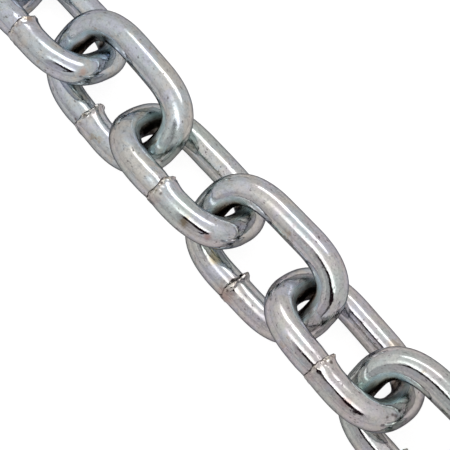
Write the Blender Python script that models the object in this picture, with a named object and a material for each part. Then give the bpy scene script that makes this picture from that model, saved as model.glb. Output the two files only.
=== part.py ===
"""A straight length of welded steel chain, laid along X on a level floor, in metres with +Z up.

Every link is one bent and butt-welded wire. The links lean one way and the other by turns, each on its lower
leg, so the chain lies flat and each link passes through the next one's end.
"""

import math

import bpy
from mathutils import Vector

# Driving dimensions of a link
WIRE = 0.0070
INNER_LENGTH = 0.0262
INNER_WIDTH = 0.0124
STRAIGHT = 0.0072
CROWN_POWER = 2.58

# The weld's collar on one leg: how far the metal swells, how far it is pushed towards the eye, and
# its places along the leg with the share of the swelling at each
COLLAR_SWELL = 0.00035
COLLAR_PUSH = 0.00045
COLLAR_PROFILE = ((0.0026, 0.0), (0.0009, 0.8), (0.0001, 1.0), (-0.0005, 0.0))

# How the chain lies
LINKS = 24
LEAN = 32.0
RUNNING_GAP = 0.0008

# Links that lie a little apart from the rest: lean and heading in degrees, then
# the shift across the chain and the slack left before the next link, in metres
LIE = {
    9: (0, 0, 0.0002, 0.0004),
    10: (-1, 1, 0.0004, 0.0009),
    11: (0, -1.5, 0.0001, 0.0001),
    12: (2.5, 1.5, -0.0006, 0),
    13: (0.5, 2, -0.0003, 0),
    14: (1.5, -1, -0.0003, 0.001),
    15: (0.5, 3.5, 0.0001, 0.0001),
    16: (0, 1.5, 0.0002, 0),
}

# Fineness of the wire
SIDES = 12
CROWN_STEPS = 9

HALF_LENGTH = (INNER_LENGTH + WIRE) / 2
HALF_WIDTH = (INNER_WIDTH + WIRE) / 2
HALF_STRAIGHT = STRAIGHT / 2
WIRE_RADIUS = WIRE / 2
FACET_RADIUS = WIRE_RADIUS / math.cos(math.pi / SIDES)

# The collar rises just so far that a lower leg's collar is flush with the floor beside it
COLLAR_RISE = (
    COLLAR_SWELL * math.cos(math.pi / SIDES) - COLLAR_PUSH * math.sin(math.radians(LEAN))
) / math.cos(math.radians(LEAN))


def clear_scene():
    """Remove the objects that Blender starts with."""
    for thing in list(bpy.data.objects):
        bpy.data.objects.remove(thing, do_unlink=True)


def crown_point(angle):
    """A point of the crown's centreline, from 90 degrees at one leg to -90 at the other."""
    power = 2 / CROWN_POWER
    x = HALF_STRAIGHT + (HALF_LENGTH - HALF_STRAIGHT) * abs(math.cos(angle)) ** power
    y = math.copysign(HALF_WIDTH * abs(math.sin(angle)) ** power, math.sin(angle))
    return Vector((x, y, 0))


def crown():
    """Points between the two legs round the +X crown, evenly spaced along it, both legs' ends left out."""
    fine = [crown_point(math.pi / 2 - math.pi * n / 2000) for n in range(2001)]
    reach = [0.0]
    for a, b in zip(fine, fine[1:]):
        reach.append(reach[-1] + (b - a).length)
    points = []
    for step in range(1, CROWN_STEPS):
        wanted = reach[-1] * step / CROWN_STEPS
        nearest = min(range(len(fine)), key=lambda n: abs(reach[n] - wanted))
        points.append(fine[nearest])
    return points


def centreline():
    """The loop of the wire's centre, as (point, radius) pairs, with the weld on the -Y leg."""
    right = crown()
    left = [Vector((-p.x, -p.y, 0)) for p in right]
    plain_leg = [Vector((-HALF_STRAIGHT, HALF_WIDTH, 0)), Vector((HALF_STRAIGHT, HALF_WIDTH, 0))]
    loop = [(p, FACET_RADIUS) for p in plain_leg + right]
    loop.append((Vector((HALF_STRAIGHT, -HALF_WIDTH, 0)), FACET_RADIUS))
    for x, share in COLLAR_PROFILE:
        place = Vector((x, -HALF_WIDTH + COLLAR_PUSH * share, COLLAR_RISE * share))
        loop.append((place, FACET_RADIUS + COLLAR_SWELL * share))
    loop.append((Vector((-HALF_STRAIGHT, -HALF_WIDTH, 0)), FACET_RADIUS))
    return loop + [(p, FACET_RADIUS) for p in left]


def zinc():
    """Bright zinc plating on drawn steel wire."""
    material = bpy.data.materials.new("zinc_plated_steel")
    material.use_nodes = True
    shader = material.node_tree.nodes["Principled BSDF"]
    shader.inputs["Base Color"].default_value = (0.50, 0.51, 0.52, 1)
    shader.inputs["Metallic"].default_value = 1.0
    shader.inputs["Roughness"].default_value = 0.32
    return material


def link(name, lean, material, collection):
    """One link in its own XY plane, its wire turned so that a flat of it faces the floor at that lean."""
    curve = bpy.data.curves.new(name, "CURVE")
    curve.dimensions = "3D"
    curve.twist_mode = "Z_UP"
    curve.bevel_depth = 1.0
    curve.bevel_resolution = (SIDES - 4) // 2
    curve.resolution_u = 1
    curve.render_resolution_u = 0
    loop = centreline()
    spline = curve.splines.new("POLY")
    spline.points.add(len(loop) - 1)
    spline.use_cyclic_u = True
    for point, (place, radius) in zip(spline.points, loop):
        point.co = (*place, 1)
        point.radius = radius
        point.tilt = math.radians(lean) + math.pi / SIDES
    curve.materials.append(material)
    made = bpy.data.objects.new(name, curve)
    collection.objects.link(made)
    return made


def surface_points(made):
    """The corners of an object's surface, where they lie in the world."""
    bpy.context.view_layer.update()
    shape = made.evaluated_get(bpy.context.evaluated_depsgraph_get())
    points = [made.matrix_world @ vertex.co for vertex in shape.to_mesh().vertices]
    shape.to_mesh_clear()
    return points


def lay(made, index, x):
    """Lean a link to its side, head it along the chain and lower it on to the floor."""
    lean, heading, across, _ = LIE.get(index, (0, 0, 0, 0))
    side = -1 if index % 2 == 0 else 1
    made.rotation_euler = (side * math.radians(LEAN + lean), 0, math.radians(heading))
    made.location = (x, across, 0)
    made.location.z -= min(point.z for point in surface_points(made))


def centre(links):
    """Bring the middle of the chain's box over the origin."""
    points = [point for made in links for point in surface_points(made)]
    for axis in (0, 1):
        middle = (min(point[axis] for point in points) + max(point[axis] for point in points)) / 2
        for made in links:
            made.location[axis] -= middle


def build():
    clear_scene()
    collection = bpy.data.collections.new("welded_steel_chain")
    bpy.context.scene.collection.children.link(collection)
    material = zinc()
    links = []
    x = 0.0
    for index in range(LINKS):
        lean, _, _, slack = LIE.get(index, (0, 0, 0, 0))
        made = link(f"link_{index:02d}", LEAN + lean, material, collection)
        lay(made, index, x)
        links.append(made)
        x += INNER_LENGTH - RUNNING_GAP - slack
    centre(links)


build()
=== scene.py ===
# %% [markdown]
# # A length of welded steel chain
# The object is one straight run of bright zinc-plated chain on a white table. Every link is a piece of round
# drawn wire, bent to a long loop and butt-welded in the middle of one leg. The imported model gives the place of
# each link, so it is loaded first.

# %% Load the frame
import math
import random

import bpy
from mathutils import Matrix, Vector


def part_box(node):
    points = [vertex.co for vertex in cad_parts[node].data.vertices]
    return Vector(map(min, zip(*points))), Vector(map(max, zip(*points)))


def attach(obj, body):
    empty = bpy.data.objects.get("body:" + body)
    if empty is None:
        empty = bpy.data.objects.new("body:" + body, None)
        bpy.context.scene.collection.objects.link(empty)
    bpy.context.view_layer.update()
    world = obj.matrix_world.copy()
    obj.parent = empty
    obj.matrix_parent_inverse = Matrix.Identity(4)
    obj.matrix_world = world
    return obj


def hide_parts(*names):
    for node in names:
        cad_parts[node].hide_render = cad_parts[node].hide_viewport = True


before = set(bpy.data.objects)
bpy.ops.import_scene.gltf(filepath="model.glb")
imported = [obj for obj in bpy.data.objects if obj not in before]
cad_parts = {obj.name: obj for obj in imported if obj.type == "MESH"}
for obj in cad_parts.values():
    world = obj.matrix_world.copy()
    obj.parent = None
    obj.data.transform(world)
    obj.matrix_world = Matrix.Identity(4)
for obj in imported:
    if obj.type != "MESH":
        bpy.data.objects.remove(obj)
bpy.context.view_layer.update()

MM = 0.001

# %% [markdown]
# ## The camera
# The picture was taken from high above the chain with a long lens, so the links hardly shrink with distance.
# The camera is aimed along the line from its place to a point in the chain, and then rolled a little.

# %% Camera
CAMERA_PLACE = Vector((96.952, -61.443, 276.255)) * MM
CAMERA_TARGET = Vector((26.616, -1.967, 9.0)) * MM
CAMERA_ROLL = math.radians(0.14)
LENS, SENSOR_WIDTH = 105.2, 36

bpy.ops.object.camera_add()
camera = bpy.context.object
camera.data.lens = LENS
camera.data.sensor_width = SENSOR_WIDTH
aim = (CAMERA_TARGET - CAMERA_PLACE).to_track_quat("-Z", "Y").to_matrix()
camera.location = CAMERA_PLACE
camera.rotation_euler = (aim @ Matrix.Rotation(CAMERA_ROLL, 3, "Z")).to_euler()
bpy.context.scene.camera = camera
steepness = (CAMERA_PLACE - CAMERA_TARGET).normalized().z
print("the camera looks down at", round(math.degrees(math.asin(steepness)), 1), "degrees")

# %% [markdown]
# ## The wire's path
# A link is a tube along a closed line, so the line comes first: two straight legs and two crowns. The crowns are
# a little squarer than half circles, because the link is bent round a blunt former, and a power curve gives
# that with one number. The places are closer together at the weld, where the shape is fine.

# %% Path of a link
WIRE_RADIUS = 3.5 * MM
HALF_LENGTH = 16.6 * MM
HALF_WIDTH = 9.7 * MM
HALF_STRAIGHT = 3.6 * MM
CROWN_POWER = 2.58
CROWN_STEPS, TRACED_STEPS = 44, 4000
PLAIN_PLACES = [x * 0.9 * MM for x in range(-4, 5)]
FINE_STEPS = (0.06, 0.13, 0.21, 0.3, 0.4, 0.52, 0.66, 0.82, 1.0, 1.2, 1.45, 1.75, 2.1)
END_GAP, FINE_GAP = 0.3 * MM, 0.4 * MM


def crown_point(angle):
    """A point of the +X crown's middle line, from -90 degrees at the welded leg to 90 at the other."""
    power = 2 / CROWN_POWER
    x = HALF_STRAIGHT + (HALF_LENGTH - HALF_STRAIGHT) * abs(math.cos(angle)) ** power
    return Vector((x, math.copysign(HALF_WIDTH * abs(math.sin(angle)) ** power, angle), 0))


def crown_line():
    """Evenly spaced points round the +X crown, both legs' ends left out."""
    traced = [crown_point(math.pi * (n / TRACED_STEPS - 0.5)) for n in range(TRACED_STEPS + 1)]
    whole = sum((b - a).length for a, b in zip(traced, traced[1:]))
    run, points = 0.0, []
    for a, b in zip(traced, traced[1:]):
        run += (b - a).length
        if run >= whole * (len(points) + 1) / CROWN_STEPS and len(points) < CROWN_STEPS - 1:
            points.append(b)
    return points


def leg_places(seam):
    """Where the rings of the welded leg stand, fine at the seam and a millimetre apart elsewhere."""
    near = [0.0] + [side * step * MM for side in (-1, 1) for step in FINE_STEPS]
    fine = [seam + x for x in near if abs(seam + x) < HALF_STRAIGHT - END_GAP]
    return sorted(fine + [x for x in PLAIN_PLACES if abs(x - seam) > FINE_STEPS[-1] * MM + FINE_GAP])


def link_line(seam):
    """The link's middle line, once round from the seam towards +X."""
    crown = crown_line()
    welded_leg = [Vector((x, -HALF_WIDTH, 0)) for x in leg_places(seam)]
    plain_leg = [Vector((-x, HALF_WIDTH, 0)) for x in PLAIN_PLACES]
    line = welded_leg + crown + plain_leg + [Vector((-p.x, -p.y, 0)) for p in crown]
    start = min(range(len(welded_leg)), key=lambda n: abs(welded_leg[n].x - seam))
    return line[start:] + line[:start]


print("a link's line has", len(link_line(0.0)), "places")

# %% [markdown]
# ## Bending one link
# A smith bends a straight wire round a former, and this does the same: a circle, the wire's section, is
# extruded from place to place, and each new ring is turned to stand across the line. The two end rings meet
# at the seam and are bridged. A curve with a round bevel would be shorter, but its rings could not be told
# apart afterwards, and the weld is shaped ring by ring.

# %% Bend the wire
SIDES = 72
NO_TURN = 1e-6


def heading(line, index):
    """The direction in which the wire runs at a ring, from +X."""
    before, after = line[index - 1], line[(index + 1) % len(line)]
    return math.atan2(after.y - before.y, after.x - before.x)


def select_vertices(thing, wanted):
    """Stay in edit mode with just these vertices selected."""
    bpy.ops.object.mode_set(mode="EDIT")
    bpy.ops.mesh.select_mode(type="VERT")
    bpy.ops.mesh.select_all(action="DESELECT")
    bpy.ops.object.mode_set(mode="OBJECT")
    for number in wanted:
        thing.data.vertices[number].select = True
    bpy.ops.object.mode_set(mode="EDIT")


def ring_vertices(*rings):
    """The numbers of the vertices in these rings, which stand in the mesh one ring after another."""
    return [ring * SIDES + side for ring in rings for side in range(SIDES)]


def bend_wire(line):
    """One closed link in its own XY plane, ring after ring in the order of its vertices."""
    bpy.ops.object.select_all(action="DESELECT")
    bpy.ops.mesh.primitive_circle_add(vertices=SIDES, radius=WIRE_RADIUS, location=line[0],
                                      rotation=(0, math.pi / 2, 0))
    bpy.ops.object.transform_apply(location=True, rotation=True, scale=True)
    wire = bpy.context.object
    bpy.ops.object.mode_set(mode="EDIT")
    for index in range(1, len(line)):
        step = line[index] - line[index - 1]
        bpy.ops.mesh.extrude_region_move(TRANSFORM_OT_translate={"value": step})
        turn = heading(line, index) - (heading(line, index - 1) if index > 1 else 0.0)
        turn = (turn + math.pi) % (2 * math.pi) - math.pi
        if abs(turn) > NO_TURN:
            bpy.ops.transform.rotate(value=-turn, orient_axis="Z", center_override=line[index])
    bpy.ops.object.mode_set(mode="OBJECT")
    select_vertices(wire, ring_vertices(0, len(line) - 1))
    bpy.ops.mesh.select_mode(type="EDGE")
    bpy.ops.mesh.bridge_edge_loops()
    bpy.ops.mesh.select_all(action="SELECT")
    bpy.ops.mesh.normals_make_consistent(inside=False)
    bpy.ops.object.mode_set(mode="OBJECT")
    return wire


print("the wire's section has", SIDES, "sides")

# %% [markdown]
# ## The butt weld
# The wire's ends are heated and pressed together, so metal swells out at the joint. On the real chain the wire
# before the seam is slightly necked, then comes a thin dark seam, a raised lip, and a collar that tapers
# away, pushed towards the eye of the link. Some links have a smooth collar and some a short sharp ring. Each
# ring of the mesh near the seam is scaled and moved to that profile, and each kind is shaped just once.

# %% Shape the weld
LEAN = math.radians(32)
WELD_KINDS = {
    "collar": {"swell": 0.30, "push": 0.40, "taper": 4.2, "neck": 0.16},
    "ring": {"swell": 0.24, "push": 0.30, "taper": 1.9, "neck": 0.06},
}
LIP_RISE, SHOULDER, SHOULDER_DROP, TAPER_START = (0.0, 0.45), (0.7, 1.6), 0.4, 1.0
NECK_RISE, NECK_FALL = (-2.8, -0.2), (0.3, 0.0)
SEAM_DEPTH, SEAM_HALF_WIDTH = 0.13, 0.14
WELD_REACH = 5 * MM
UNTOUCHED = 0.01


def smooth(value, low, high):
    """0 below low, 1 above high and a smooth ramp between; low may be the greater."""
    share = min(max((value - low) / (high - low), 0.0), 1.0)
    return share * share * (3 - 2 * share)


def weld_profile(x, sizes):
    """At x millimetres from the seam, the collar's share, and the neck and the groove in millimetres."""
    collar = smooth(x, *LIP_RISE) * (1 - SHOULDER_DROP * smooth(x, *SHOULDER))
    collar *= smooth(x, sizes["taper"], TAPER_START)
    neck = smooth(x, *NECK_RISE) * smooth(x, *NECK_FALL) * sizes["neck"]
    return collar, neck, smooth(abs(x), SEAM_HALF_WIDTH, 0.0) * SEAM_DEPTH


def shape_weld(wire, line, seam, sizes):
    """Scale and move the rings near the seam, so that a lower leg's collar stays level with the floor."""
    for ring, place in enumerate(line):
        if place.y > 0 or abs(place.x - seam) > WELD_REACH:
            continue
        collar, neck, groove = weld_profile((place.x - seam) / MM, sizes)
        if collar + neck + groove < UNTOUCHED:
            continue
        swell, push = sizes["swell"] * collar, sizes["push"] * collar
        rise = (swell - push * math.sin(LEAN)) / math.cos(LEAN)
        factor = 1 + (swell - neck - groove) * MM / WIRE_RADIUS
        select_vertices(wire, ring_vertices(ring))
        bpy.ops.transform.resize(value=(factor, factor, factor), center_override=place)
        bpy.ops.transform.translate(value=(0, push * MM, rise * MM))
        bpy.ops.object.mode_set(mode="OBJECT")


print("kinds of weld:", ", ".join(WELD_KINDS))

# %% [markdown]
# ## The wire's own coordinates
# Draw marks, dirt and the weld's tint follow the wire round its bends. So every vertex gets its place on the wire
# as if that were straight again, its distance from the seam, and how much the next link rubs there. Vertex
# groups for the weld, its lip, the joint and the crowns tell the modifiers later where to work.

# %% Wire attributes
NOWHERE_NEAR = 99.0
LEG_BAND, SEAM_BAND = 4 * MM, 7 * MM
CROWN_BAND = (9.5 * MM, 15.0 * MM)
# Where along the leg a group rises and where it falls again, in millimetres from the seam
STRETCHES = {"weld": ((-0.2, 0.6), (3.5, 1.0)), "joint": ((-1.6, -0.5), (1.6, 0.5)),
             "lip": ((-0.35, 0.15), (1.6, 0.6))}
# How much a side of the wire must look the wanted way, as the cosine of its angle to it
TOWARDS_EYE, UPWARDS = (0.1, 1.0), (-0.2, 0.7)
ALL_ROUND = (1.0,) * SIDES


def add_attribute(thing, name, kind, values):
    """Store a value for each vertex."""
    layer = thing.data.attributes.new(name, kind, "POINT")
    layer.data.foreach_set("value" if kind == "FLOAT" else "vector",
                           values if kind == "FLOAT" else [v for spot in values for v in spot])


def add_group(thing, name, shares):
    """A vertex group from a share for each vertex."""
    group = thing.vertex_groups.new(name=name)
    for number, share in enumerate(shares):
        if share > UNTOUCHED:
            group.add([number], share, "REPLACE")


def spread(ring_values, side_values=ALL_ROUND):
    """A value for each vertex: that of its ring times that of its side."""
    return [ring * side for ring in ring_values for side in side_values]


def mark_wire(wire, line, seam, top):
    """Give a bent wire its attributes and groups; top is the angle round the wire that looks up when laid."""
    run = [0.0]
    for a, b in zip(line, line[1:]):
        run.append(run[-1] + (b - a).length)
    near = [(p.x - seam) / MM if p.y < LEG_BAND - HALF_WIDTH and abs(p.x - seam) < SEAM_BAND else NOWHERE_NEAR
            for p in line]
    crown = [smooth(abs(p.x), *CROWN_BAND) for p in line]
    angles = [2 * math.pi * side / SIDES for side in range(SIDES)]
    eye_side = [smooth(math.cos(angle), *TOWARDS_EYE) for angle in angles]
    top_side = [smooth(math.cos(angle - top), *UPWARDS) for angle in angles]
    add_attribute(wire, "wire_place", "FLOAT_VECTOR", [
        (x, WIRE_RADIUS * math.cos(angle), WIRE_RADIUS * math.sin(angle)) for x in run for angle in angles])
    add_attribute(wire, "from_seam", "FLOAT", spread(near))
    add_attribute(wire, "bearing", "FLOAT", spread(crown, eye_side))
    add_group(wire, "crown", spread(crown))
    for name, (rise, fall) in STRETCHES.items():
        share = [smooth(x, *rise) * smooth(x, *fall) for x in near]
        add_group(wire, name, spread(share, top_side if name == "lip" else ALL_ROUND))


print("a vertex stands every", 360 // SIDES, "degrees round the wire")

# %% [markdown]
# ## Four patterns
# The links lean one way and the other by turns. On every second one the seam lies a little off the middle of the
# leg, and another side of the wire looks up. With two kinds of weld for each, that makes four wires to bend and
# shape. The chain is then laid from copies of them, which is much quicker than bending every link.

# %% Patterns
SEAMS = {"even": 0.0 * MM, "odd": -1.5 * MM}
TOPS = {"even": math.radians(122), "odd": math.radians(58)}

patterns = {}
for hand, seam in SEAMS.items():
    line = link_line(seam)
    for kind, sizes in WELD_KINDS.items():
        wire = bend_wire(line)
        wire.name = f"pattern_{hand}_{kind}"
        shape_weld(wire, line, seam, sizes)
        mark_wire(wire, line, seam, TOPS[hand])
        patterns[hand, kind] = wire
print(len(patterns), "patterns of", len(wire.data.vertices), "vertices,", len(line), "rings")

# %% [markdown]
# ## Laying the chain
# Each link leans on one leg, the next on the other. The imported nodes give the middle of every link, and the
# leaning angles are the ones the chain was laid with. A copy of a bent wire is turned and moved there, and
# the placement is then applied, so that the mesh itself lies in place and the object stays at the origin.
# Pulling the weld's crest out by another height on each link keeps the copies from looking alike.

# %% Lay the links
LINKS = 24
# By the number of a link: how much more it leans and where it heads, in degrees
LEAN_MORE = {10: -1, 12: 2.5, 13: 0.5, 14: 1.5, 15: 0.5}
HEADINGS = {10: 1, 11: -1.5, 12: 1.5, 13: 2, 14: -1, 15: 3.5, 16: 1.5}
RING_WELDS = (1, 6, 8, 13, 19, 22)
# How far the crest of a weld is pulled out, in millimetres: on the links in the picture, and on the others
KNOBS = {10: 0.35, 11: 0.55, 12: 0.3, 13: 0.5, 14: 0.4}
KNOB_HEIGHTS = (0.25, 0.55)
CREST_START, CREST_END, CREST_HALF_WIDTH, KNOB_REACH = 0.5, 0.9, 1.1 * MM, 1.3 * MM


def only(thing):
    """Make one object the selected and active one."""
    bpy.ops.object.select_all(action="DESELECT")
    thing.select_set(True)
    bpy.context.view_layer.objects.active = thing


def raise_knob(piece, seam, height):
    """Pull the weld's crest out towards the eye in one soft lump; the height is in millimetres."""
    crest = [n for n, v in enumerate(piece.data.vertices)
             if CREST_START < (v.co.x - seam) / MM < CREST_END
             and -HALF_WIDTH < v.co.y < 0 and abs(v.co.z) < CREST_HALF_WIDTH]
    select_vertices(piece, crest)
    bpy.ops.transform.translate(value=(0, height * MM, 0), use_proportional_edit=True,
                                proportional_edit_falloff="SMOOTH", proportional_size=KNOB_REACH)
    bpy.ops.object.mode_set(mode="OBJECT")


def lay(index):
    """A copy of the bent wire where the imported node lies."""
    node = f"link_{index:02d}"
    low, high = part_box(node)
    chance = random.Random(index)
    hand = "odd" if index % 2 else "even"
    only(patterns[hand, "ring" if index in RING_WELDS else "collar"])
    bpy.ops.object.duplicate()
    piece = bpy.context.object
    piece.name = piece.data.name = f"{node}_wire"
    raise_knob(piece, SEAMS[hand], KNOBS.get(index, chance.uniform(*KNOB_HEIGHTS)))
    lean = LEAN + math.radians(LEAN_MORE.get(index, 0))
    piece.rotation_euler = (lean if hand == "odd" else -lean, 0, math.radians(HEADINGS.get(index, 0)))
    piece.location = ((low[0] + high[0]) / 2, (low[1] + high[1]) / 2,
                      WIRE_RADIUS + HALF_WIDTH * math.sin(lean))
    bpy.ops.object.transform_apply(location=True, rotation=True, scale=True)
    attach(piece, node)
    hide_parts(node)
    return piece


links = [lay(index) for index in range(LINKS)]
for wire in patterns.values():
    bpy.data.objects.remove(wire)
print(len(links), "links laid")

# %% [markdown]
# ## Uneven metal
# No wire is perfectly round. Five Displace modifiers push the surface about: long low waves all over from
# drawing and bending, dents on the crowns, a seam that wanders, lumps on the weld and a fine crinkle on its lip.
# Their cloud textures are read at each link's own place, so no two links come out alike. The waves also break
# up the long reflections. Each link is then set down on the floor again.

# %% Uneven metal
# Each layer's name, size of cloud and strength in millimetres, vertex group, direction and depth of noise
UNEVEN = (("waves", 5.0, 0.08, "", "NORMAL", 1), ("dents", 3.2, 0.16, "crown", "NORMAL", 2),
          ("wander", 2.4, 1.1, "joint", "X", 1), ("lumps", 1.5, 0.60, "weld", "NORMAL", 1),
          ("crinkle", 0.55, 0.85, "lip", "NORMAL", 2))
CREASE_ANGLE = math.radians(50)


def displace(piece, name, scale, strength, group, direction, depth):
    """One layer of unevenness; scale and strength in millimetres."""
    clouds = bpy.data.textures.get(name) or bpy.data.textures.new(name, "CLOUDS")
    clouds.noise_scale, clouds.noise_depth = scale * MM, depth
    only(piece)
    layer = piece.modifiers.new(name, "DISPLACE")
    layer.texture, layer.texture_coords = clouds, "LOCAL"
    layer.strength, layer.mid_level = strength * MM, 0.5
    layer.direction = direction
    layer.vertex_group = group
    bpy.ops.object.modifier_apply(modifier=name)


def set_down(piece):
    """Move a link's mesh up or down until it just touches the floor, and tell by how much."""
    lift = -min(v.co.z for v in piece.data.vertices)
    bpy.ops.object.mode_set(mode="EDIT")
    bpy.ops.mesh.select_all(action="SELECT")
    bpy.ops.transform.translate(value=(0, 0, lift))
    bpy.ops.object.mode_set(mode="OBJECT")
    return round(lift / MM, 3)


lifts = []
for piece in links:
    for layer in UNEVEN:
        displace(piece, *layer)
    piece.vertex_groups.clear()
    bpy.ops.object.shade_smooth_by_angle(angle=CREASE_ANGLE)
    lifts.append(set_down(piece))
print("links lifted on to the floor by", min(lifts), "to", max(lifts), "mm")

# %% [markdown]
# ## Shader arithmetic
# A plated surface is a sum of many small things, and sums read best as sums. A small class wraps a socket of a
# node tree, so that ordinary arithmetic on it adds the Math nodes, and one method makes any other node.

# %% Shader arithmetic
class Shade:
    """An output of a node. Arithmetic on it adds Math nodes."""

    def __init__(self, tree, socket=None):
        self.tree, self.socket = tree, socket

    def node(self, kind, settings=None, inputs=None, output=0):
        """A node of any kind: its settings first, then values or links for its sockets."""
        made = self.tree.nodes.new(kind)
        for name, value in (settings or {}).items():
            setattr(made, name, value)
        for name, value in (inputs or {}).items():
            self.feed(made.inputs[name], value)
        return Shade(self.tree, made.outputs[output])

    def feed(self, socket, value):
        """Link or set one socket."""
        if isinstance(value, Shade):
            self.tree.links.new(value.socket, socket)
        else:
            socket.default_value = value

    def math(self, operation, *others):
        """A Math node on this output and, after it, any others."""
        return self.node("ShaderNodeMath", {"operation": operation}, dict(enumerate((self, *others))))

    def __add__(self, other):
        return self.math("ADD", other)

    def __mul__(self, other):
        return self.math("MULTIPLY", other)

    def __sub__(self, other):
        return self.math("SUBTRACT", other)

    def __rsub__(self, other):
        return self.node("ShaderNodeMath", {"operation": "SUBTRACT"}, {0: other, 1: self})

    __radd__, __rmul__ = __add__, __mul__

    def axis(self, name):
        """The X, Y or Z of a vector."""
        return self.node("ShaderNodeSeparateXYZ", {}, {0: self}, name)

    def ramp(self, low, high):
        """A smooth step from 0 at low to 1 at high."""
        return self.node("ShaderNodeMapRange", {"interpolation_type": "SMOOTHSTEP"},
                         {"Value": self, "From Min": low, "From Max": high})

    def tint(self, colour, other):
        """Self as the share of the second colour that is mixed into the first."""
        return self.node("ShaderNodeMix", {"data_type": "RGBA"}, {0: self, 6: colour, 7: other}, 2)


def new_material(name):
    """A material with its shader, and a start for its nodes."""
    made = bpy.data.materials.new(name)
    made.use_nodes = True
    return made, made.node_tree.nodes["Principled BSDF"], Shade(made.node_tree)


print("shader arithmetic ready")

# %% [markdown]
# ## Bright zinc plating
# Zinc plating is a thin grey metal film with a faint blue cast. It shines where it lies on smooth wire, and goes
# dull where links rub, where dirt sits and round the weld; in the hollows where links meet, dark shade is painted
# into it, and glints are painted on the weld's lip. All of that comes from a few noises, so they are made first.
# Most are read at the place in space, and the draw marks at the place on the wire, where the pattern can be
# stretched along it.

# %% Noises of the zinc
PER_MM = 1000.0
zinc, shader, start = new_material("zinc_plated_steel")
here = start.node("ShaderNodeTexCoord", output="Object")
wire_place = start.node("ShaderNodeAttribute", {"attribute_name": "wire_place"}, output="Vector")
from_seam = start.node("ShaderNodeAttribute", {"attribute_name": "from_seam"}, output="Fac")
bearing = start.node("ShaderNodeAttribute", {"attribute_name": "bearing"}, output="Fac")


def noise(place, per_mm, detail=2.0, rough=0.5):
    """Cloudy values about 0.5, with so many clouds to a millimetre."""
    return place.node("ShaderNodeTexNoise", {}, {
        "Vector": place, "Scale": per_mm * PER_MM, "Detail": detail, "Roughness": rough})


def stretched(place, share):
    """The same coordinates with the first one shortened, so that a pattern runs along the wire."""
    return place.node("ShaderNodeVectorMath", {"operation": "MULTIPLY"}, {0: place, 1: (share, 1, 1)})


patches = noise(here, 0.13, 3.0, 0.6)
mottle = noise(here, 0.9, 4.0, 0.7)
marks = noise(stretched(wire_place, 0.22), 1.9, 3.0, 0.65)
grime = noise(here, 0.33, 4.0, 0.7)
specks = noise(here, 2.4, 3.0, 0.6)
cells = here.node("ShaderNodeTexVoronoi", {}, {"Vector": here, "Scale": 0.42 * PER_MM})
pits = (1 - cells.ramp(0.04, 0.11)) * grime.ramp(0.53, 0.62)
print("zinc has", len(zinc.node_tree.nodes), "nodes for its noises")

# %% [markdown]
# ### Its tints
# The film's thickness tints it, so slow patches run between a cool and a warm grey, with some blue, some cream,
# some lilac and some green. A ramp makes patches of a noise: it gives the level at which a patch begins and the
# one at which it is full. The picture has more of one tint on some links than on others, and two waves along the
# chain bring that in.

# %% Tints
COOL, WARM = (0.645, 0.735, 0.775, 1), (0.735, 0.74, 0.72, 1)
BLUE, CREAM = (0.68, 0.72, 0.84, 1), (0.755, 0.75, 0.69, 1)
LILAC, GREEN = (0.725, 0.685, 0.725, 1), (0.635, 0.74, 0.715, 1)


def waves_along(crest, half_wave):
    """Values between -1 and 1 that come and go along the chain; both lengths in metres."""
    return ((here.axis("X") - crest) * (math.pi / half_wave)).math("COSINE")


slow, quick = waves_along(0.08, 0.12), waves_along(0.045, 0.0375)
hue = noise(here, 0.2, 3.0, 0.6)
colour = (patches + slow * 0.10).ramp(0.40, 0.62).tint(COOL, WARM)
colour = ((hue + quick * 0.05).ramp(0.50, 0.64) * 0.8).tint(colour, BLUE)
colour = ((1 - hue - quick * 0.05).ramp(0.50, 0.64) * 0.8).tint(colour, CREAM)
colour = ((grime + slow * 0.12).ramp(0.50, 0.70) * 0.7).tint(colour, LILAC)
colour = ((noise(here, 0.09, 2.0) - quick * 0.09).ramp(0.50, 0.66) * 0.8).tint(colour, GREEN)
print("six tints mixed")

# %% [markdown]
# ### Its light and dark
# Over the tints lie fine mottling, specks, and marks along the wire where the die has scored it, each of them
# lighter or darker than the film. Soot sits in some of the marks. Every line lays one paint over the colour so
# far, as thick as its noise allows.

# %% Light and dark
DARK_MOTTLE = (0.42, 0.44, 0.445, 1)
DARK_SPECK, LIGHT_SPECK = (0.26, 0.26, 0.27, 1), (0.92, 0.92, 0.91, 1)
DARK_MARK, LIGHT_MARK = (0.28, 0.28, 0.29, 1), (0.86, 0.86, 0.85, 1)
SOOT = (0.17, 0.15, 0.16, 1)

colour = (mottle.ramp(0.48, 0.70) * 0.60).tint(colour, DARK_MOTTLE)
colour = (specks.ramp(0.52, 0.78) * 0.35).tint(colour, DARK_SPECK)
colour = ((1 - specks).ramp(0.56, 0.76) * 0.6).tint(colour, LIGHT_SPECK)
colour = (marks.ramp(0.55, 0.75) * 0.55).tint(colour, LIGHT_MARK)
colour = ((1 - marks).ramp(0.58, 0.78) * 0.6).tint(colour, DARK_MARK)
sooty = noise(stretched(wire_place, 0.45), 2.3, 2.0, 0.5).ramp(0.62, 0.68) * grime.ramp(0.47, 0.56)
colour = (sooty * 0.8).tint(colour, SOOT)
print("six paints laid over them")

# %% [markdown]
# ### Where links rub
# The next link bears on the inside of a crown. There the film is dull and blue-grey. The brown over it is partly
# rubbed steel and partly painted shade, and the near-black in the hollow, where the next link shuts out the light,
# is painted shade.

# %% Bearing places
FILM_BLUE, FILM_GREEN = (0.54, 0.68, 0.75, 1), (0.50, 0.61, 0.60, 1)
RUBBED_BROWN_AND_SHADE, HOLLOW_SHADE = (0.33, 0.26, 0.19, 1), (0.075, 0.055, 0.04, 1)

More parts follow.
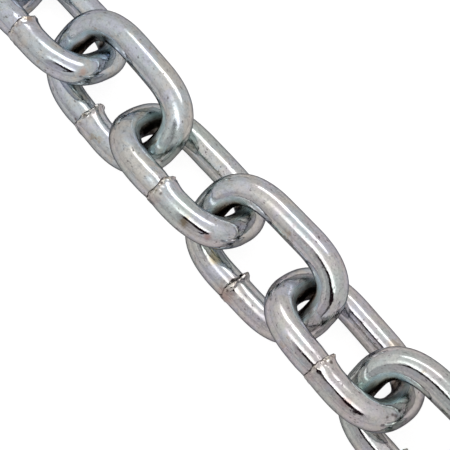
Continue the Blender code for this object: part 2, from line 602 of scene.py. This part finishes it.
frost = bearing.ramp(0.02, 0.30) * (1 - bearing.ramp(0.55, 0.9))
film = noise(here, 0.28, 2.0).ramp(0.42, 0.58).tint(FILM_BLUE, FILM_GREEN)
colour = (frost * (0.35 + mottle.ramp(0.4, 0.6) * 0.5)).tint(colour, film)
# Brown where the next link bears: partly rubbed steel, partly painted shade
colour = (bearing.ramp(0.50, 0.92) * (0.35 + grime.ramp(0.4, 0.6) * 0.4)).tint(colour, RUBBED_BROWN_AND_SHADE)
# Painted shade: near-black in the hollow of the crown, broken up by the noises
painted_hollow_shade = bearing.ramp(0.84, 1.0) * (0.55 + (grime + mottle).ramp(0.85, 1.1) * 0.45)
colour = (painted_hollow_shade * 0.9).tint(colour, HOLLOW_SHADE)
print("bearing places follow the attribute of", len(links), "links")

# %% [markdown]
# ### The weld
# The lip is painted bright and faintly yellow, with dark olive between: partly bright trimmed metal, partly
# painted glints, which are strongest on the side that looks up. The heat has browned the leg behind it, and the
# seam itself is a dark line that comes and goes, its black painted stronger on the side that looks down as painted
# shade.

# %% Colours of the weld
LIP_DARK, PAINTED_LIP_GLINT = (0.24, 0.22, 0.15, 1), (1.0, 0.97, 0.84, 1)
HEATED, SEAM_BLACK = (0.54, 0.47, 0.45, 1), (0.05, 0.04, 0.035, 1)

wander = (mottle - 0.5) * 0.9
top = start.node("ShaderNodeTexCoord", output="Normal").axis("Z").ramp(0.35, 0.85)
ragged = from_seam + wander
lip = ragged.ramp(-0.1, 0.25) * (1 - ragged.ramp(0.7, 1.7)) * mottle.ramp(0.36, 0.6)
# Painted glints on the lip, strongest where it looks up, with dark olive between; partly bright trimmed metal
painted_lip_glints = noise(here, 1.7, 2.0, 0.5).ramp(0.44, 0.56).tint(LIP_DARK, PAINTED_LIP_GLINT)
colour = (lip * (0.25 + top * 0.65)).tint(colour, painted_lip_glints)
browned = from_seam.ramp(-0.6, 0.4) * (1 - from_seam.ramp(1.5, 6.0)) * grime.ramp(0.4, 0.6)
colour = (browned * 0.45).tint(colour, HEATED)
crack = from_seam + wander * 0.25
# The seam is a real dark line; its black is painted stronger on the side that looks down, as painted shade
seam_line = crack.ramp(-0.2, -0.05) * (1 - crack.ramp(0.05, 0.2)) * grime.ramp(0.38, 0.56)
colour = (seam_line * (0.9 - top * 0.5)).tint(colour, SEAM_BLACK)
print("lip, browned leg and seam coloured")

# %% [markdown]
# ### Pits and stains
# Small pits are sown over all the links. A few stains and the larger pits lie where the picture has them, as
# soft spots of brown, yellow and pink, each with a ragged edge from the noise that is added to its distance.
# One more noise browns a few other places, so that the rest of the chain has its stains too.

# %% Pits and stains
PIT_BLACK, PIT_BROWN = (0.04, 0.033, 0.03, 1), (0.11, 0.075, 0.065, 1)
# Places and radii in millimetres
PIT_RADIUS = 0.55
# The last of these places is a dark brown spot at the end of a link, just under the next one
PITS = ((80.3, -4.6, 15.0), (80.5, -3.4, 14.5), (81.1, -3.0, 14.1), (-14.3, -9.1, 6.8), (-15.0, -10.7, 5.6),
        (64.9, -6.2, 17.2), (14.9, -9.8, 17.9), (37.7, -10.6, 6.8), (-4.2, -6.0, 15.4), (6.5, -3.2, 9.5))
STAINS = (((22.9, -9.9, 17.1), 1.7, (0.28, 0.21, 0.10, 1)), ((28.1, -8.0, 15.7), 1.5, (0.50, 0.32, 0.30, 1)),
          ((30.5, -8.2, 7.1), 2.0, (0.62, 0.53, 0.32, 1)), ((-19.5, -4.1, 14.0), 1.5, (0.62, 0.47, 0.40, 1)),
          ((-36.1, -5.6, 16.5), 1.4, (0.50, 0.38, 0.28, 1)), ((38.0, -11.2, 5.2), 2.6, (0.52, 0.40, 0.37, 1)),
          ((72.7, -9.6, 17.1), 1.6, (0.52, 0.37, 0.36, 1)))
OLD_BROWN = (0.47, 0.38, 0.26, 1)


def spot(centre, radius):
    """1 in the middle of a ragged round spot, 0 outside it; in millimetres."""
    away = here.node("ShaderNodeVectorMath", {"operation": "DISTANCE"},
                     {0: here, 1: Vector(centre) * MM}, "Value")
    return 1 - (away * PER_MM + ((grime - 0.5) * 2.2 + wander * 1.1) * radius).ramp(0.0, radius)


colour = (pits * 0.8).tint(colour, PIT_BLACK)
for centre, radius, stain in (*STAINS, *((place, PIT_RADIUS, PIT_BROWN) for place in PITS)):
    colour = (spot(centre, radius) * 0.8).tint(colour, stain)
old_stain = noise(here, 0.17, 4.0, 0.7).ramp(0.62, 0.70)
colour = (old_stain * 0.5).tint(colour, OLD_BROWN)
start.feed(shader.inputs["Base Color"], colour)
print(len(STAINS), "stains and", len(PITS), "larger pits placed")

# %% [markdown]
# ### Its shine and relief
# Roughness decides how wide the reflections of the lamps are. It rises where the film is dull, and on the tops of
# two links that the picture shows dull, and stays low elsewhere, so that thin bright and black lines run along
# the wire. The relief is a few hundredths of a millimetre of mottling, draw marks and pits. It goes through a
# Bump node, because it is far too fine for the mesh. The rim of a metal darkens a little at grazing angles,
# which the shader's own edge tint gives.

# %% Surface of the zinc
SMOOTHEST = 0.04
# Place and radius in millimetres, and the roughness that is added there
DULL_PLACES = (((4.6, 1.8, 13.6), 5.5, 0.22), ((1.5, -8.8, 17.2), 6.0, 0.16), ((9.5, -8.7, 18.0), 4.0, 0.10))
RELIEF = 0.026 * MM
EDGE_TINT = (0.22, 0.23, 0.26, 1)

dull = mottle.ramp(0.4, 0.8) * 0.09 + grime.ramp(0.45, 0.8) * 0.07
dull = dull + frost * 0.22 + bearing * 0.1 + old_stain * 0.1
for centre, radius, share in DULL_PLACES:
    dull = dull + spot(centre, radius) * share
start.feed(shader.inputs["Roughness"], dull + SMOOTHEST)
drawn = noise(stretched(wire_place, 0.05), 0.75, 1.0, 0.5)
height = drawn * 1.9 + marks * 0.45 + mottle * 0.7 + specks * 0.12 - pits * 3.0
start.feed(shader.inputs["Normal"], start.node("ShaderNodeBump", {}, {
    "Strength": 1.0, "Distance": RELIEF, "Height": height}))
shader.inputs["Metallic"].default_value = 1.0
shader.inputs["Specular Tint"].default_value = EDGE_TINT
for piece in links:
    piece.data.materials.clear()
    piece.data.materials.append(zinc)
print("zinc has", len(zinc.node_tree.nodes), "nodes")

# %% [markdown]
# ## The table
# The table is white in the picture, but what the metal mirrors from below is darker, because the paper there lies
# in the shade of the tent's front. So there are two sheets. Only the camera sees the upper one, which glows nearly
# white, and takes the last of its white and the soft shade at the links' feet from the light of the tent. Only
# the metal sees the lower one, a pale warm paper with hardly a glow, which gives the links their light from below.

# %% Floor
FLOOR_SIZE = 30
TABLE_PAPER, TABLE_GLOW = (0.28, 0.28, 0.28, 1), 0.90
BOUNCE_PAPER, BOUNCE_GLOW, BOUNCE_HEIGHT = (0.740, 0.693, 0.677, 1), 0.11, -0.5 * MM


def card(name, size, height, paper_colour, glow):
    """A level matt card of the studio that glows white, with its shader and a start for its nodes."""
    bpy.ops.object.select_all(action="DESELECT")
    bpy.ops.mesh.primitive_plane_add(size=size, location=(0, 0, height))
    bpy.ops.object.transform_apply(location=True, rotation=True, scale=True)
    made = bpy.context.object
    made.name = name
    paper, shader, start = new_material(name)
    shader.inputs["Base Color"].default_value = paper_colour
    shader.inputs["Roughness"].default_value = 1.0
    shader.inputs["Specular IOR Level"].default_value = 0.0
    shader.inputs["Emission Color"].default_value = (1, 1, 1, 1)
    shader.inputs["Emission Strength"].default_value = glow
    made.data.materials.append(paper)
    return made, shader, start


floor, *_ = card("floor", FLOOR_SIZE, 0, TABLE_PAPER, TABLE_GLOW)
floor.visible_glossy = floor.visible_diffuse = floor.visible_shadow = False
under, *_ = card("floor_bounce", FLOOR_SIZE, BOUNCE_HEIGHT, BOUNCE_PAPER, BOUNCE_GLOW)
under.visible_camera = False
print("floor and its bounce sheet laid")

# %% [markdown]
# ## The room round the tent
# Metal shows what stands round it, so the surroundings matter as much as the metal does. Low down the tent's
# walls are nearly even, a little darker and more lilac on the side of the open front, and a sky that depends on
# direction alone is enough for them. The Standard view keeps white paper white.

# %% World
WALL_LEFT, WALL_RIGHT, FRONT = (0.545, 0.515, 0.507, 1), (0.60, 0.567, 0.555, 1), (0.475, 0.445, 0.45, 1)
world = bpy.data.worlds.new("studio")
bpy.context.scene.world = world
world.use_nodes = True
way = Shade(world.node_tree).node("ShaderNodeTexCoord", output="Generated")
side, across = way.axis("X"), way.axis("Y")
sky = (side + across * 0.4).ramp(-1.0, 1.0).tint(WALL_LEFT, WALL_RIGHT)
sky = (side * 0.3 - across).ramp(0.1, 0.9).tint(sky, FRONT)
way.feed(world.node_tree.nodes["Background"].inputs["Color"], sky)

bpy.context.scene.view_settings.view_transform = "Standard"
bpy.context.scene.view_settings.look = "None"
print("sky nodes", len(world.node_tree.nodes))

# %% [markdown]
# ## The tent's roof
# Two soft lamps shine through the roof, and in its open front stands the dark camera. A roof is so near that
# each link sees it from another place, and that moves the highlights along the chain, so it is a real card over
# the chain and not part of the sky. What is painted on it is laid out by places in metres, and one number
# shrinks them all about a point over the chain.

# %% Tent roof
ROOF_SIZE, ROOF_HEIGHT = 1.3, 0.19
ROOF_MIDDLE, ROOF_SCALE = (0.045, -0.003), 1.5
roof, shader, start = card("tent_roof", ROOF_SIZE, ROOF_HEIGHT, (0, 0, 0, 1), 1.0)
roof.visible_camera = False
place = start.node("ShaderNodeTexCoord", output="Object")
x, y = ((place.axis(name) - middle) * ROOF_SCALE + middle for name, middle in zip("XY", ROOF_MIDDLE))
print("roof hangs", round(ROOF_HEIGHT / MM), "mm over the table")

# %% [markdown]
# ### Its lamps and its opening
# The light is painted by distance: from a line for the one lamp, and from a rounded opening for the other, which
# is brightest right at the opening's edge. The cloth between them fades towards its rim. The opening is a dim
# grey, and just inside its edge runs a black band, which draws the thin dark lines along the wires. All lengths
# are in metres on the roof before it is shrunk, and inside the opening they are shares of its size.

# %% Light of the roof
LAMP, CLOTH, RIM = (2.26, 2.2, 2.17, 1), (0.75, 0.722, 0.718, 1), (0.575, 0.545, 0.537, 1)
DIM, BLACK = (0.44, 0.412, 0.426, 1), (0.01, 0.004, 0.006, 1)
LAMP_LINE, LAMP_REACH, FULL_LIGHT = ((-0.137, 0.134), (0.013, 0.209)), 0.144, 0.95
OPENING_CENTRE, OPENING_REACH, OPENING_POWER = (0.16, -0.40), (0.196, 0.307), 5.7
EDGE_LAMP_REACH, EDGE_LAMP_RIGHT, EDGE_LAMP_FRONT = 0.58, (0.20, 0.34), (-0.32, 0.02)
CLOTH_FADE, OPENING_EDGE = 0.25, (-0.01, 0.03)
BAND_EDGE, BAND_END, BAND_WIDER, WIDER_FROM = (0.0, 0.03), (0.19, 0.27), 0.16, (0.05, 0.20)
BAND_LEFT, BAND_FRONT, FRONT_SLANT = (0.0, 0.025), (-0.24, -0.20), 0.6


def from_line(start, end):
    """The distance of a place of the roof from a line between two points."""
    length = math.dist(start, end)
    along = ((end[0] - start[0]) / length, (end[1] - start[1]) / length)
    dx, dy = x - start[0], y - start[1]
    run = dx * along[0] + dy * along[1]
    past = run - run.math("MAXIMUM", 0.0).math("MINIMUM", length)
    off = dx * along[1] - dy * along[0]
    return (off * off + past * past).math("SQRT")


def inside_opening():
    """How far inside the opening a place lies: 0 at its edge, 1 in its middle, negative outside."""
    parts = [((value - centre) * (1 / reach)).math("ABSOLUTE").math("POWER", OPENING_POWER)
             for value, centre, reach in zip((x, y), OPENING_CENTRE, OPENING_REACH)]
    return 1 - (parts[0] + parts[1]).math("POWER", 1 / OPENING_POWER)


inner = inside_opening()
lamp = 1 - from_line(*LAMP_LINE).ramp(0.0, LAMP_REACH)
edge_lamp = 1 - (inner * -1).ramp(0.0, EDGE_LAMP_REACH)
edge_lamp = edge_lamp * (1 - x.ramp(*EDGE_LAMP_RIGHT)) * y.ramp(*EDGE_LAMP_FRONT)
cloth = (x * x + y * y).ramp(0.0, CLOTH_FADE).tint(CLOTH, RIM)
light = (lamp * lamp + edge_lamp * edge_lamp).ramp(0.0, FULL_LIGHT).tint(cloth, LAMP)
light = inner.ramp(*OPENING_EDGE).tint(light, DIM)
band = inner.ramp(*BAND_EDGE) * (1 - (inner - x.ramp(*WIDER_FROM) * BAND_WIDER).ramp(*BAND_END))
band = band * x.ramp(*BAND_LEFT) * (y + x * FRONT_SLANT).ramp(*BAND_FRONT)
start.feed(shader.inputs["Emission Color"], band.tint(light, BLACK))
print("roof nodes", len(roof.data.materials[0].node_tree.nodes))
